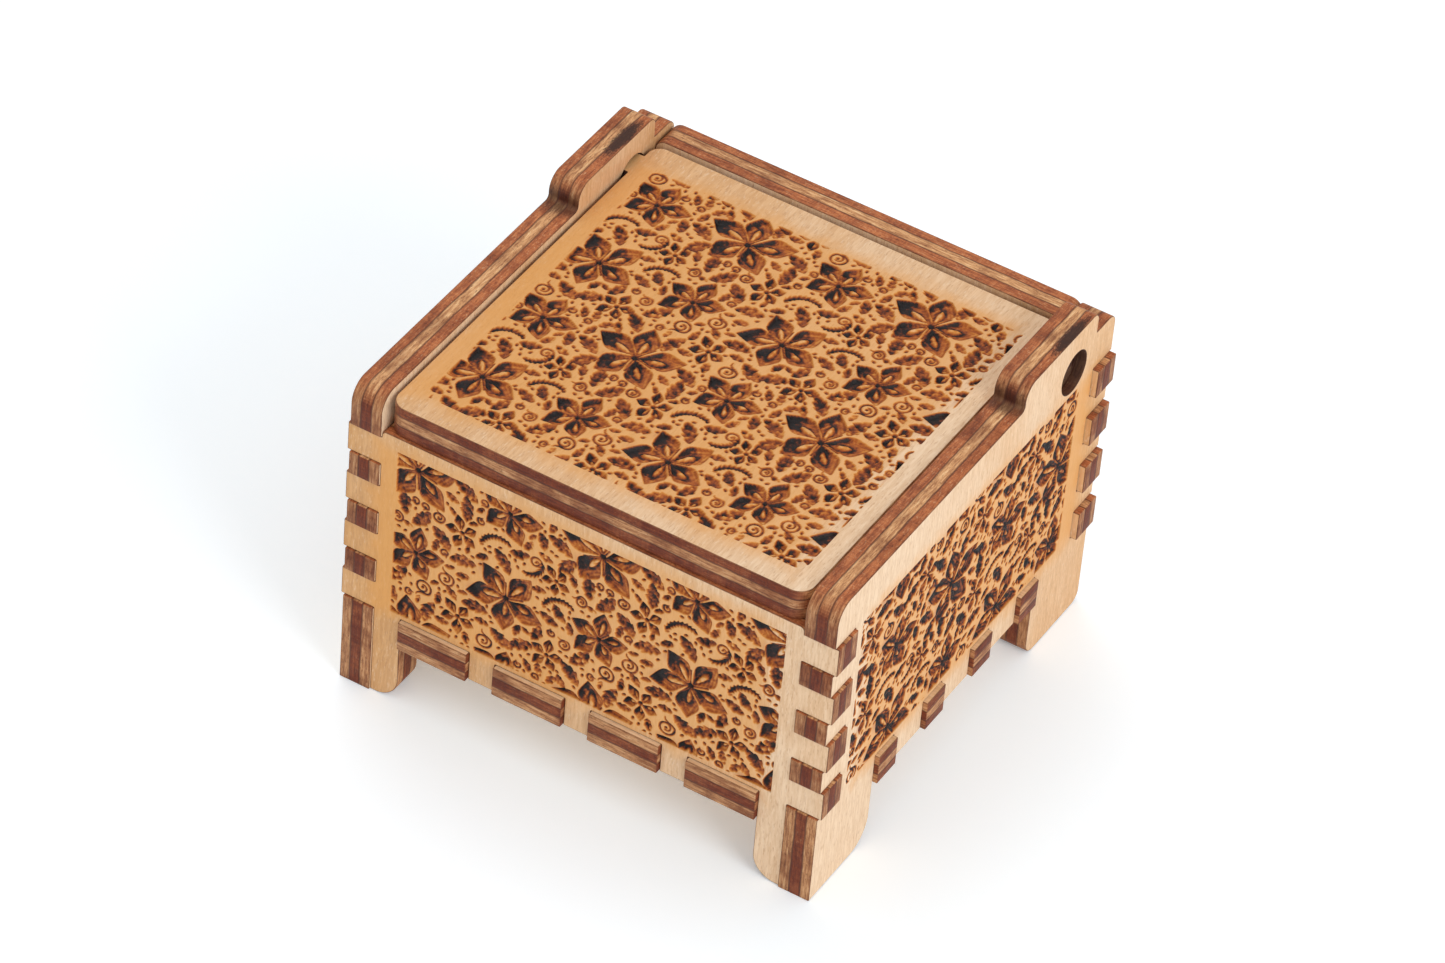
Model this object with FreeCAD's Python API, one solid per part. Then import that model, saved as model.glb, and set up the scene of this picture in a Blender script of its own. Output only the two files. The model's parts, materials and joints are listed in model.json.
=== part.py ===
"""Small slot-together plywood box with a lid that turns on its own two stubs.

Six flat panels are cut from one thickness of sheet.  The front and back panels run
their fingers through the side panels, the bottom panel runs tabs through all four
walls, and every wall reaches the table on two feet.  The lid drops between the side
panels; a stub on each of its edges sits in a round hole in each side panel.

X is the width, +Y points to the back, +Z is up, and the origin is on the table under
the middle of the box.  All sizes are in millimetres.
"""
import FreeCAD, Part
import math
import os

Vector = FreeCAD.Vector

# ---- overall sizes
ply = 4.0                 # thickness of every panel
width = 62.2              # over the outer faces of the two side panels
depth = 60.7              # front edge to rear edge of a side panel
wall_height = 43.7        # table to the top edge of a side panel

# ---- how far cut ends stand out of the face that they pass through
side_finger_proud = 0.25  # side panel edges, in front of the front panel and behind the back one
front_finger_proud = 0.4  # front panel fingers, outside the side panels
back_finger_proud = 0.8   # back panel fingers, outside the side panels
tab_proud = 0.6           # bottom panel tabs, outside all four walls

# ---- clearances
fit = 0.05                # each flank of a finger or tab in its slot
lid_rest_gap = 0.1        # under the closed lid, above the front panel
lid_side_gap = 0.45       # each side of the lid
lid_swing_gap = 0.2       # rear corners of the turning lid to the back panel
lid_lean_gap = 0.34       # top face of the fully open lid to the back panel's top edge
stub_gap = 0.07           # corners of a stub to the wall of its hole

# ---- finger joints at the four upright corners
finger_count = 4          # fingers on each end of the front and back panels
side_finger = 3.25        # height of the side panel fingers between them
finger_shoulder = 0.9     # front panel's top edge above its top finger
front_top_round = 0.6

# ---- feet and the tabs of the bottom panel
foot_height = 8.5         # table to the bottom panel
front_foot = 3.6          # foot of the front or back panel, inside the side panel
front_foot_round = 3.0
side_foot = 12.5          # foot of a side panel, along the edge
side_foot_round_front = 3.5
side_foot_round_rear = 2.0
tab_count = 4             # tabs on each edge of the bottom panel
front_tab_space = 3.5     # wood between two tabs in the front or back panel
side_tab_space = 6.5      # wood between two tabs in a side panel

# ---- lid, hinge and the ears around the hinge holes
lid_recess = 0.7          # lid's top face below the top edges of the side panels
lid_front_setback = 0.3   # lid's front edge behind the front panel's face
lid_front_round = 2.0
lid_rear_round = 1.7
round_share = 0.9         # most of a short straight edge that a rounded corner may take
back_bar_drop = 0.45      # back panel's top edge below the side panels' top edges
back_bar_round = 1.5
opening_angle = 130.0     # degrees from closed to fully open
stub_length = 3.6         # stub measured along the lid's edge
stub_recess = 1.2         # stub end inside the side panel's outer face
ear_wall = 3.03           # wood over the hinge hole
ear_front_reach = 11.7    # ear's front end, ahead of the hinge axis
ear_rear_reach = 4.7      # ear's rear end, behind the hinge axis
ear_front_round = 2.1
ear_rear_round = 1.2
ear_root_round = 0.6
wall_front_round = 2.5    # front top corner of a side panel
wall_rear_round = 1.6     # rear top corner
wall_heel_round = 1.4     # rear bottom corner

# ---- planes that the panels share
side_outer = width / 2
side_inner = side_outer - ply
side_front = -depth / 2
side_rear = depth / 2
front_outer = side_front + side_finger_proud
front_inner = front_outer + ply
back_outer = side_rear - side_finger_proud
back_inner = back_outer - ply
bottom_top = foot_height + ply
lid_top = wall_height - lid_recess
lid_underside = lid_top - ply
front_top = lid_underside - lid_rest_gap
back_top = wall_height - back_bar_drop

# ---- hinge, far enough in front of the back panel for the lid to open all the way
hinge_z = lid_underside + ply / 2
opening = math.radians(opening_angle)
lean_height = (back_top - hinge_z) * math.cos(opening)
hinge_setback = (ply / 2 + lid_lean_gap - lean_height) / math.sin(opening)
hinge_y = back_inner - hinge_setback
hole_radius = math.hypot(stub_length, ply) / 2 + stub_gap
ear_top = hinge_z + hole_radius + ear_wall
lid_rear_reach = math.sqrt((hinge_setback - lid_swing_gap) ** 2 - (ply / 2) ** 2)


def spread(low, high, count, space):
    """Spans of count equal pieces that fill low to high with a fixed space between them."""
    size = (high - low - (count - 1) * space) / count
    return [(low + i * (size + space), low + i * (size + space) + size) for i in range(count)]


def between(spans):
    """The spaces between neighbouring spans."""
    return [(spans[i][1], spans[i + 1][0]) for i in range(len(spans) - 1)]


def grown(spans, by):
    """The spans, longer by the same amount at both ends."""
    return [(low - by, high + by) for low, high in spans]


def backwards(spans):
    """The same spans for an edge that is walked the other way."""
    return [(high, low) for low, high in reversed(spans)]


def steps(spans, base, reach):
    """Corners (along, across) of an edge at base that steps to reach over each span."""
    corners = []
    for start, stop in spans:
        corners += [(start, base), (start, reach), (stop, reach), (stop, base)]
    return corners


def upright(corners):
    """Corners of an edge that runs up instead of along."""
    return [(across, along) for along, across in corners]


# ---- spans that the joints share
wall_fingers = spread(bottom_top, front_top - finger_shoulder, finger_count, side_finger)
front_tab_edge = side_inner - front_foot
front_tabs = spread(-front_tab_edge, front_tab_edge, tab_count, front_tab_space)
side_tabs = spread(side_front + side_foot, side_rear - side_foot, tab_count, side_tab_space)


def rounded_wire(corners, place):
    """Closed wire through (u, v) or (u, v, radius) corners; place makes (u, v) a point."""
    pieces = []
    count = len(corners)
    for i, corner in enumerate(corners):
        here = Vector(corner[0], corner[1], 0)
        radius = corner[2] if len(corner) > 2 else 0
        if not radius:
            pieces.append([here])
            continue
        before = (Vector(*corners[i - 1][:2], 0) - here).normalize()
        after = (Vector(*corners[(i + 1) % count][:2], 0) - here).normalize()
        half = before.getAngle(after) / 2
        setback = radius / math.tan(half)
        middle = (before + after).normalize()
        centre = here + middle * (radius / math.sin(half))
        pieces.append([here + before * setback, centre - middle * radius, here + after * setback])
    edges = []
    for i, piece in enumerate(pieces):
        points = [place(point.x, point.y) for point in piece]
        if len(points) == 3:
            edges.append(Part.Arc(*points).toShape())
        following = pieces[(i + 1) % count][0]
        following = place(following.x, following.y)
        if points[-1].distanceToPoint(following) > 1e-7:
            edges.append(Part.LineSegment(points[-1], following).toShape())
    return Part.Wire(edges)


def sheet(corners, place, through):
    """A panel: the outline filled, and given its thickness along through."""
    return Part.Face(rounded_wire(corners, place)).extrude(through)


def cross_panel(outer_face, inward, top, top_round, proud):
    """A front or back panel, seen from the front, with its outer face at outer_face."""
    fingers = wall_fingers
    reach = side_outer + proud
    slots = between(grown(front_tabs, fit))
    corners = [(-side_inner, 0), (-front_tab_edge, 0, front_foot_round)]
    corners += [(-front_tab_edge, bottom_top + fit)]
    corners += steps(slots, bottom_top + fit, foot_height)
    corners += [(front_tab_edge, bottom_top + fit)]
    corners += [(front_tab_edge, 0, front_foot_round), (side_inner, 0)]
    corners += upright(steps(fingers, side_inner, reach))
    corners += [(side_inner, top, top_round), (-side_inner, top, top_round)]
    corners += upright(steps(backwards(fingers), -side_inner, -reach))
    return sheet(corners, lambda x, z: Vector(x, outer_face, z), Vector(0, inward * ply, 0))


def side_panel(outer_face, inward):
    """A side panel, seen from the right, with its outer face at outer_face."""
    fingers = grown(wall_fingers, fit)
    slots = between(grown(side_tabs, fit))
    foot_front = side_front + side_foot
    foot_rear = side_rear - side_foot
    ear_front = hinge_y - ear_front_reach
    ear_rear = hinge_y + ear_rear_reach
    corners = [(side_front, 0), (foot_front, 0, side_foot_round_front)]
    corners += [(foot_front, bottom_top + fit)]
    corners += steps(slots, bottom_top + fit, foot_height)
    corners += [(foot_rear, bottom_top + fit)]
    corners += [(foot_rear, 0, side_foot_round_rear), (side_rear, 0, wall_heel_round)]
    corners += upright(steps(fingers, side_rear, back_inner - fit))
    corners += [(side_rear, wall_height, wall_rear_round), (ear_rear, wall_height)]
    corners += [(ear_rear, ear_top, ear_rear_round), (ear_front, ear_top, ear_front_round)]
    corners += [(ear_front, wall_height, ear_root_round)]
    corners += [(side_front, wall_height, wall_front_round)]
    corners += upright(steps(backwards(fingers), side_front, front_inner + fit))
    panel = sheet(corners, lambda y, z: Vector(outer_face, y, z), Vector(inward * ply, 0, 0))
    hole = Part.makeCylinder(
        hole_radius, ply, Vector(outer_face, hinge_y, hinge_z), Vector(inward, 0, 0)
    )
    return panel.cut(hole)


def bottom_panel():
    """The floor, with its tabs through all four walls."""
    side_reach = side_outer + tab_proud
    corners = [(-side_inner, front_inner)]
    corners += steps(front_tabs, front_inner, front_outer - tab_proud)
    corners += [(side_inner, front_inner)]
    corners += upright(steps(side_tabs, side_inner, side_reach))
    corners += [(side_inner, back_inner)]
    corners += steps(backwards(front_tabs), back_inner, back_outer + tab_proud)
    corners += [(-side_inner, back_inner)]
    corners += upright(steps(backwards(side_tabs), -side_inner, -side_reach))
    return sheet(corners, lambda x, y: Vector(x, y, foot_height), Vector(0, 0, ply))


def lid():
    """The lid, with a square stub on each side that turns in the side panel's hole."""
    edge = side_inner - lid_side_gap
    front = front_outer + lid_front_setback
    rear = hinge_y + lid_rear_reach
    stub = [(hinge_y - stub_length / 2, hinge_y + stub_length / 2)]
    stub_end = side_outer - stub_recess
    rear_round = min(lid_rear_round, round_share * (lid_rear_reach - stub_length / 2))
    corners = [(-edge, front, lid_front_round), (edge, front, lid_front_round)]
    corners += upright(steps(stub, edge, stub_end))
    corners += [(edge, rear, rear_round), (-edge, rear, rear_round)]
    corners += upright(steps(backwards(stub), -edge, -stub_end))
    return sheet(corners, lambda x, y: Vector(x, y, lid_underside), Vector(0, 0, ply))


panels = {
    "front_panel": cross_panel(front_outer, 1, front_top, front_top_round, front_finger_proud),
    "back_panel": cross_panel(back_outer, -1, back_top, back_bar_round, back_finger_proud),
    "left_side_panel": side_panel(-side_outer, 1),
    "right_side_panel": side_panel(side_outer, -1),
    "bottom_panel": bottom_panel(),
    "lid": lid(),
}

os.makedirs("parts", exist_ok=True)
for name, panel in panels.items():
    panel.exportStep("parts/" + name + ".step")

print("hinge axis at y, z:", round(hinge_y, 4), round(hinge_z, 4))
print("hinge hole radius:", round(hole_radius, 4))
print("hinge setback:", round(hinge_setback, 4))
for name, panel in panels.items():
    box = panel.BoundBox
    size = [round(length, 2) for length in (box.XLength, box.YLength, box.ZLength)]
    print(name, "valid" if panel.isValid() else "broken", size, round(panel.Volume, 1))
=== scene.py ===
import itertools
import json
import math

import bmesh
import bpy
import numpy as np
from mathutils import Matrix, Quaternion, Vector


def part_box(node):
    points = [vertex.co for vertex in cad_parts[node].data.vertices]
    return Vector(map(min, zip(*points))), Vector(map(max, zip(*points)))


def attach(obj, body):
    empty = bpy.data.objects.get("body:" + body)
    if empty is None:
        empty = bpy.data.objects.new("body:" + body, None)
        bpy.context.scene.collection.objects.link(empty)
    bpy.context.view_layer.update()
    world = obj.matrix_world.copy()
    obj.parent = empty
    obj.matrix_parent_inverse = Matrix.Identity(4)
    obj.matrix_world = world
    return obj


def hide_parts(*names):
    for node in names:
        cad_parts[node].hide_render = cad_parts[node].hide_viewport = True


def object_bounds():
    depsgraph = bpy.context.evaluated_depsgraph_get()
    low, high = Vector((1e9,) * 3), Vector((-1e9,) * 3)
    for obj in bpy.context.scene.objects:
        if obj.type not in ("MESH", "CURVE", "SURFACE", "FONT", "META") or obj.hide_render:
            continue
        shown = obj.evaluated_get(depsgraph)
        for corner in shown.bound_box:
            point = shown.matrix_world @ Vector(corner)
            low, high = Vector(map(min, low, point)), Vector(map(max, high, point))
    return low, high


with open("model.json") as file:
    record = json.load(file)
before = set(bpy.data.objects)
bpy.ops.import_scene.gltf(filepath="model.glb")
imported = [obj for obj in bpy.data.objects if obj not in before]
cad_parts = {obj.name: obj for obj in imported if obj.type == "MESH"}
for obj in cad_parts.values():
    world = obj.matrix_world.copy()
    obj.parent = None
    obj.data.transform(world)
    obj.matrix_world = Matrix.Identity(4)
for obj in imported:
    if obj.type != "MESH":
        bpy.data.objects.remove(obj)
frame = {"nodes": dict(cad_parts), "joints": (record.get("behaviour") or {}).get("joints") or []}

# A small hinged box of laser-cut three-ply birch. Every panel is cut out of one sheet, its outer face is
# engraved with flowers, leaves and curls, and the beam has left the cut edges brown and the carving charred.

CAD_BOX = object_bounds()

MM = 0.001                   # one millimetre in metres
PLY = 4.0                    # thickness of the sheet, mm
ARRIS = 0.10                 # how far the cut edges are eased, mm
EASED_ANGLE = math.radians(35)     # edges sharper than this are eased
SMOOTH_ANGLE = math.radians(28)    # and edges flatter than this are shaded smooth
SAME_PLACE = 0.001           # points nearer than this are one point, mm
SAME_LEVEL = 0.002           # and faces nearer than this lie at one level, mm

ENGRAVING_DEPTH = 0.62       # depth of a full cut, mm
DEEPEST = 1.15               # how far the deepest spots go past it, as a share
FLOOR_GRIT = 0.022           # roughness of the carved ground, mm
LID_STEP = 0.158             # spacing of the carved points on the lid, mm
WALL_STEP = 0.122            # and on the walls, mm
WALL_FOOT = 13.1             # from the floor to the walls' engraved field, mm

EDGE_BURN = 0.80             # how brown the beam has left the cut edges
FINGER_BURN = 0.45           # and how much browner the finger ends are
GOLD_SHADE_DRIFT = 0.15            # how far a face's painted shade, a drift towards golden and darker, counts
EAR_SCORCH = {"left_wall": 28.0, "right_wall": 30.6}   # the ears' scorch, from the box's middle, mm
EAR_ROOT = 29.1              # the scorch at the ears' roots, from the box's middle, mm
EAR_REACH = 11.9             # from the hinge forward to the ear's root, mm
EAR_RISE = 2.8               # from the root up to the ear's top, mm

# The camera looks at a point near the box's middle.
CAMERA_AZIMUTH = math.radians(28.04)
CAMERA_ELEVATION = math.radians(41.68)
CAMERA_ROLL = math.radians(5.22)
CAMERA_DISTANCE = 0.7885     # m
CAMERA_LENS = 174.73         # mm, on a sensor 36 mm wide
CAMERA_AIM = (-0.48, -0.07, 0.19)  # from the box's middle, mm
FLOOR_DROP = 0.02            # how far the studio floor lies below the feet, mm

# The ornament is one square that repeats.
TILE = 24.0                  # side of the square, mm
TILE_STEP = 0.06             # spacing of the points that it is drawn on, mm
DARK_SIDE = (-0.92, 0.38)    # towards the side of each motif that is burnt deepest


# ---------------------------------------------------------------- the ornament
def ease(low, high, value):
    """0 below low, 1 above high, smooth between."""
    t = np.clip((value - low) / (high - low), 0, 1)
    return t * t * (3 - 2 * t)


def softened(tile, size):
    """The repeating square blurred by size, in points, without a seam."""
    ring = np.fft.fftfreq(len(tile))
    falloff = np.exp(-2 * (math.pi * size) ** 2 * (ring[:, None] ** 2 + ring[None, :] ** 2))
    return np.fft.ifft2(np.fft.fft2(tile) * falloff).real


class Ornament:
    """One square of engraving that repeats without a seam: depth 0 to 1, and char 0 to 1."""

    def __init__(self, seed):
        self.count = int(round(TILE / TILE_STEP))
        self.depth = np.zeros((self.count, self.count))
        self.char = np.zeros((self.count, self.count))
        self.taken = np.zeros((self.count, self.count), bool)
        self.random = np.random.default_rng(seed)
        self.grit = 0.55 * self.noise(3.0) + 0.45 * self.noise(1.2)
        self.patch = self.noise(9.0)

    def noise(self, size):
        """Seamless soft noise with blobs of size, in points."""
        soft = softened(self.random.normal(size=(self.count, self.count)), size)
        return soft / soft.std()

    def window(self, centre, reach):
        """The rows and columns around a centre, and the offsets u, v of their points."""
        first = [int(math.floor((c - reach) / TILE_STEP)) for c in centre]
        steps = np.arange(int(math.ceil(2 * reach / TILE_STEP)) + 1)
        u = (first[0] + steps) * TILE_STEP - centre[0]
        v = (first[1] + steps) * TILE_STEP - centre[1]
        rows = (first[1] + steps) % self.count
        columns = (first[0] + steps) % self.count
        return np.ix_(rows, columns), *np.meshgrid(u, v)

    def carve(self, place, depth, char, claim):
        """Keeps the deeper and the darker of what is there and what is added."""
        self.depth[place] = np.maximum(self.depth[place], depth)
        self.char[place] = np.maximum(self.char[place], char)
        self.taken[place] |= claim

    def free(self, centre, radius):
        """Whether nothing has been drawn yet within radius of centre."""
        place, u, v = self.window(centre, radius)
        return not self.taken[place][np.hypot(u, v) < radius].any()

    def scatter(self, tries, radius, draw):
        """Draws a motif wherever a random spot still has room for it."""
        for _ in range(tries):
            spot = tuple(self.random.uniform(0, TILE, 2))
            angle = self.random.uniform(0, 2 * math.pi)
            if self.free(spot, radius):
                draw(spot, angle)

    # ---- single motifs
    def petal(self, centre, angle, start, length, half_width):
        """A broad pointed cup: grooves along both sides, a pale tongue between, and a pit beyond it."""
        place, u, v = self.window(centre, start + length + 0.3)
        along = u * math.cos(angle) + v * math.sin(angle) - start
        across = -u * math.sin(angle) + v * math.cos(angle)
        across = across + 0.10 * half_width * np.sin(math.pi * np.clip(along / length, 0, 1))
        t = np.clip(along / length, 1e-4, 1 - 1e-4)
        outline = 1.22 * half_width / ((0.52 / t) ** 3.6 + (0.48 / (1 - t)) ** 3) ** 0.33
        n = across / np.maximum(outline, 1e-3)
        inside = (along > 0) & (along < length) & (np.abs(n) < 1)
        rim_distance = (1 - np.abs(n)) * outline
        middle = start + 0.5 * length
        side = (u - middle * math.cos(angle)) * DARK_SIDE[0] + (v - middle * math.sin(angle)) * DARK_SIDE[1]
        side = np.clip(0.5 + 0.5 * side / (half_width * 1.1), 0, 1)
        tongue_end, pit_place = 0.58, 0.60
        tongue_width = 0.44 * np.sqrt(np.clip(1 - t / tongue_end, 0, 1)) + 1e-3
        tongue = ease(0, 0.4, 1 - np.abs(n) / tongue_width) * (t < tongue_end) * ease(0.04, 0.16, t)
        groove = np.exp(-((np.abs(n) - tongue_width - 0.12) / 0.11) ** 2) * (t < pit_place)
        pit = np.exp(-((t - pit_place) / 0.09) ** 2 - (n / 0.30) ** 2)
        ribs = 0.5 + 0.5 * np.sin(6.5 * along + 13 * np.abs(across))
        grit = self.grit[place]
        flank = ease(0.52, 0.98, side + 0.05 * grit)
        rim = np.exp(-(rim_distance / 0.13) ** 2)
        deep = 0.46 + 0.46 * side + 0.22 * pit + 0.12 * groove - 0.44 * tongue + 0.05 * grit
        burn = 0.45 + 0.68 * flank + 0.36 * pit + 0.40 * groove - 0.30 * tongue
        burn = burn - 0.20 * ribs * (1 - flank)
        burn += 0.34 * rim * (0.35 + 0.65 * side) + 0.10 * grit
        deep = ease(0, 0.24, rim_distance) * inside * deep
        burn = ease(0, 0.09, rim_distance) * inside * burn
        self.carve(place, np.clip(deep, 0, 1.1), np.clip(burn, 0, 1), inside)

    def stroke(self, points, width, depth, char, teeth=0.0, tooth_step=0.3):
        """A cut line along points. Its half width may vary along it, and teeth give it barbs."""
        points = np.asarray(points, float)
        centre = (points.min(0) + points.max(0)) / 2
        reach = np.abs(points - centre).max() + np.max(width) + teeth + 0.15
        place, u, v = self.window(centre, reach)
        local = points - centre
        widths = np.broadcast_to(width, len(points))
        best = np.full(u.shape, TILE)     # the distance to the nearest bit of the line so far
        travel, signed, broad = np.zeros(u.shape), np.zeros(u.shape), np.zeros(u.shape)
        gone = 0.0
        for i in range(len(local) - 1):
            a, b = local[i], local[i + 1]
            run = b - a
            size = math.hypot(*run)
            s = np.clip(((u - a[0]) * run[0] + (v - a[1]) * run[1]) / size ** 2, 0, 1)
            du, dv = u - a[0] - s * run[0], v - a[1] - s * run[1]
            far = np.hypot(du, dv)
            near = far < best
            best = np.where(near, far, best)
            travel = np.where(near, gone + s * size, travel)
            signed = np.where(near, run[0] * dv - run[1] * du, signed)
            broad = np.where(near, widths[i] + s * (widths[i + 1] - widths[i]), broad)
            gone += size
        if teeth:
            lean = travel + 0.9 * best
            saw = np.abs(((lean / tooth_step + 0.5 * (signed > 0)) % 1) - 0.5) * 2
            broad = broad + teeth * saw ** 1.5
        cut = ease(0, 0.6, np.clip(1 - best / np.maximum(broad, 1e-3), 0, 1))
        grit = self.grit[place]
        burn = np.clip(cut * char * (1 + 0.22 * grit), 0, 1)
        self.carve(place, cut * depth * (1 + 0.15 * grit), burn, best < broad + 0.07)

    def curl(self, centre, radius, start, turn, stem, turns=1.35, width=0.18, char=0.66):
        """A spiral with a dark eye, and a stem that runs on from its outer end."""
        theta = np.linspace(0, turns * 2 * math.pi, 30)
        shrink = radius * (1 - 0.66 * theta / theta[-1])
        spiral = [(centre[0] + r * math.cos(start + turn * a), centre[1] + r * math.sin(start + turn * a))
                  for r, a in zip(shrink, theta)]
        tail = []
        head, heading = np.array(spiral[0]), start - turn * math.pi / 2
        for i in range(9 if stem else 0):
            tail.append(tuple(head))
            heading += turn * 0.13 * (i - 3.2)
            head = head + stem / 8 * np.array([math.cos(heading), math.sin(heading)])
        path = tail[::-1] + spiral[1:] if tail else spiral
        widths = np.interp(np.arange(len(path)), [0, 5, len(path) - 1], [0.07, width, width * 0.8])
        self.stroke(path, widths, 0.34, char)
        self.dot(centre, 0.22 * radius, 0.4, char + 0.10)
        place, u, v = self.window(centre, radius + 0.1)
        self.taken[place] |= np.hypot(u, v) < radius + 0.10

    def dot(self, centre, radius, depth, char, stretch=1.0, angle=0.0):
        """A round or long pit, darker on one side."""
        place, u, v = self.window(centre, radius * stretch + 0.15)
        along = (u * math.cos(angle) + v * math.sin(angle)) / stretch
        across = -u * math.sin(angle) + v * math.cos(angle)
        far = np.hypot(along, across) / radius
        cut = ease(0, 0.6, 1 - far)
        shade = 1 + 0.35 * (u * DARK_SIDE[0] + v * DARK_SIDE[1]) / radius
        self.carve(place, cut * depth, np.clip(cut ** 0.7 * char * shade, 0, 1), far < 1.2)

    def leaf(self, centre, angle, length, half_width, lobes):
        """A serrated leaf with a rough, lumpy floor that is darker on one side."""
        place, u, v = self.window(centre, 0.5 * length + half_width + 0.3)
        along = (u * math.cos(angle) + v * math.sin(angle)) / length + 0.5
        across = -u * math.sin(angle) + v * math.cos(angle) + 0.22 * length * (along - 0.5) ** 2
        t = np.clip(along, 1e-4, 1 - 1e-4)
        saw = (t * lobes) % 1
        outline = half_width * 2.45 * t ** 0.75 * (1 - t) ** 0.8 * (1.10 - 0.36 * saw)
        n = across / np.maximum(outline, 1e-3)
        inside = (along > 0) & (along < 1) & (np.abs(n) < 1)
        edge = ease(0, 0.20, (1 - np.abs(n)) * outline) * inside
        side = np.clip(0.5 + 0.5 * (u * DARK_SIDE[0] + v * DARK_SIDE[1]) / (0.4 * length), 0, 1)
        vein = np.exp(-((((t * lobes - np.abs(n) * 0.7) % 1) - 0.5) / 0.15) ** 2)
        grit = self.grit[place]
        deep = edge * (0.42 + 0.20 * side + 0.20 * grit - 0.14 * vein)
        burn = edge ** 0.6 * (0.40 + 0.34 * side + 0.24 * grit - 0.16 * vein)
        self.carve(place, np.clip(deep, 0, 1), np.clip(burn, 0, 1), inside)

    def fern(self, centre, radius, start, sweep, width=0.22, curl=0.85):
        """A thick barbed arc that ends in a small curl, where there is room for it."""
        theta = np.linspace(0, sweep, 16)
        path = [(centre[0] + radius * math.cos(start + a), centre[1] + radius * math.sin(start + a))
                for a in theta]
        if not all(self.free(spot, width + 0.25) for spot in path):
            return
        widths = width * np.interp(np.linspace(0, 1, 16), [0, 0.25, 0.8, 1], [0.35, 0.9, 1, 0.6])
        self.stroke(path, widths, 0.58, 0.86, teeth=0.46, tooth_step=0.50)
        end = start + sweep
        middle = (centre[0] + (radius - curl) * math.cos(end), centre[1] + (radius - curl) * math.sin(end))
        if self.free(middle, 0.3):
            self.curl(middle, curl, end, math.copysign(1, sweep), stem=0, turns=1.2, char=0.58)

    def bloom(self, centre, radius, rotation, tendrils, breadth=0.30):
        """A flower of five pointed petals, with hair lines and tendrils between them."""
        spread = (0.00, 1.30, 2.45, 3.75, 5.05)
        lengths = (1.00, 0.90, 0.97, 0.86, 0.94)
        for offset, share in zip(spread, lengths):
            self.petal(centre, rotation + offset, 0.04 * radius, radius * share, breadth * radius)
        for i, offset in enumerate(spread):
            gap = (spread[(i + 1) % 5] - offset) % (2 * math.pi)
            heading = rotation + offset + gap / 2
            reach, size = radius * 0.92, 0.13 * radius + 0.25
            turned = heading + 0.34
            tip = (centre[0] + reach * math.cos(turned), centre[1] + reach * math.sin(turned))
            ahead = turned + 0.2 + math.pi / 2
            middle = (tip[0] + size * math.cos(ahead), tip[1] + size * math.sin(ahead))
            grows = i in tendrils and self.free(middle, 0.7 * size)
            if not grows:
                reach = radius * 0.45
            steps = np.linspace(0.04, 1, 10)
            for twist in (0.20, 0.34) if grows else (0.0,):
                path = [(centre[0] + s * reach * math.cos(heading + twist * s * s),
                         centre[1] + s * reach * math.sin(heading + twist * s * s)) for s in steps]
                self.stroke(path, np.linspace(0.15, 0.13, 10), 0.42, 0.66)
            if grows:
                self.curl(middle, size, ahead - math.pi, 1, stem=0)
        self.dot(centre, 0.075 * radius + 0.1, 0.8, 0.95)

    def daisy(self, centre, radius, rotation):
        """A small flower of five rounder petals."""
        for i in range(5):
            angle = rotation + i * 2 * math.pi / 5
            self.petal(centre, angle, 0.08 * radius, radius * (0.86 + 0.14 * (i % 2)), radius * 0.30)
        self.dot(centre, 0.12 * radius + 0.08, 0.6, 0.8)


def flower_ground():
    """The square of flowers, leaves, ferns and tendrils that every engraved face repeats."""
    work = Ornament(seed=11)
    work.bloom((5.8, 6.3), 5.7, 0.40, (0, 2, 3, 4))
    work.bloom((17.9, 17.8), 5.3, 0.95, (1, 2, 4))
    work.bloom((17.8, 6.2), 4.3, 0.10, (0, 3), breadth=0.31)
    work.bloom((6.0, 18.2), 4.1, 1.45, (1, 3), breadth=0.31)
    work.daisy((11.9, 11.9), 2.5, 1.0)
    work.daisy((23.6, 12.4), 2.4, 0.2)
    work.daisy((11.9, 0.4), 2.4, 0.6)
    work.daisy((0.2, 23.8), 2.1, 0.9)

    # The gaps are filled with ever smaller motifs. Room is the clear radius that one needs, mm.
    def ferns(tries, radius, sweep):
        work.scatter(tries, 0.6, lambda spot, angle: work.fern(spot, radius, angle, sweep))

    def leaves(tries, room, length, half_width, lobes):
        work.scatter(tries, room, lambda spot, angle: work.leaf(spot, angle, length, half_width, lobes))

    def curls(tries, room, radius, stem):
        work.scatter(tries, room, lambda spot, angle: work.curl(
            spot, radius, angle, 1 if angle > 3 else -1, stem))

    ferns(60, radius=2.6, sweep=1.7)
    leaves(150, room=1.20, length=3.7, half_width=1.15, lobes=4)
    curls(60, room=1.22, radius=1.12, stem=2.0)
    ferns(60, radius=2.2, sweep=1.6)
    leaves(240, room=0.98, length=2.8, half_width=0.92, lobes=3)
    curls(130, room=0.90, radius=0.82, stem=1.4)
    leaves(900, room=0.72, length=2.1, half_width=0.70, lobes=3)
    work.scatter(160, 0.60, lambda spot, angle: work.curl(spot, 0.55, angle, 1, 0.8, turns=1.0))
    leaves(700, room=0.52, length=1.5, half_width=0.50, lobes=2)
    work.scatter(1800, 0.34, lambda spot, angle: work.dot(spot, 0.22, 0.45, 0.66, 1.6, angle))
    return work


def sampled(tile, u, v):
    """The values of a repeating square at u, v in mm, blended between its nearest points."""
    count = len(tile)
    column, row = u / TILE_STEP, v / TILE_STEP
    left, low = np.floor(column).astype(int), np.floor(row).astype(int)
    right_share, up_share = column - left, row - low
    total = 0
    for row_step, row_share in ((0, 1 - up_share), (1, up_share)):
        for column_step, column_share in ((0, 1 - right_share), (1, right_share)):
            corner = tile[(low + row_step) % count, (left + column_step) % count]
            total = total + corner * row_share * column_share
    return total


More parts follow.
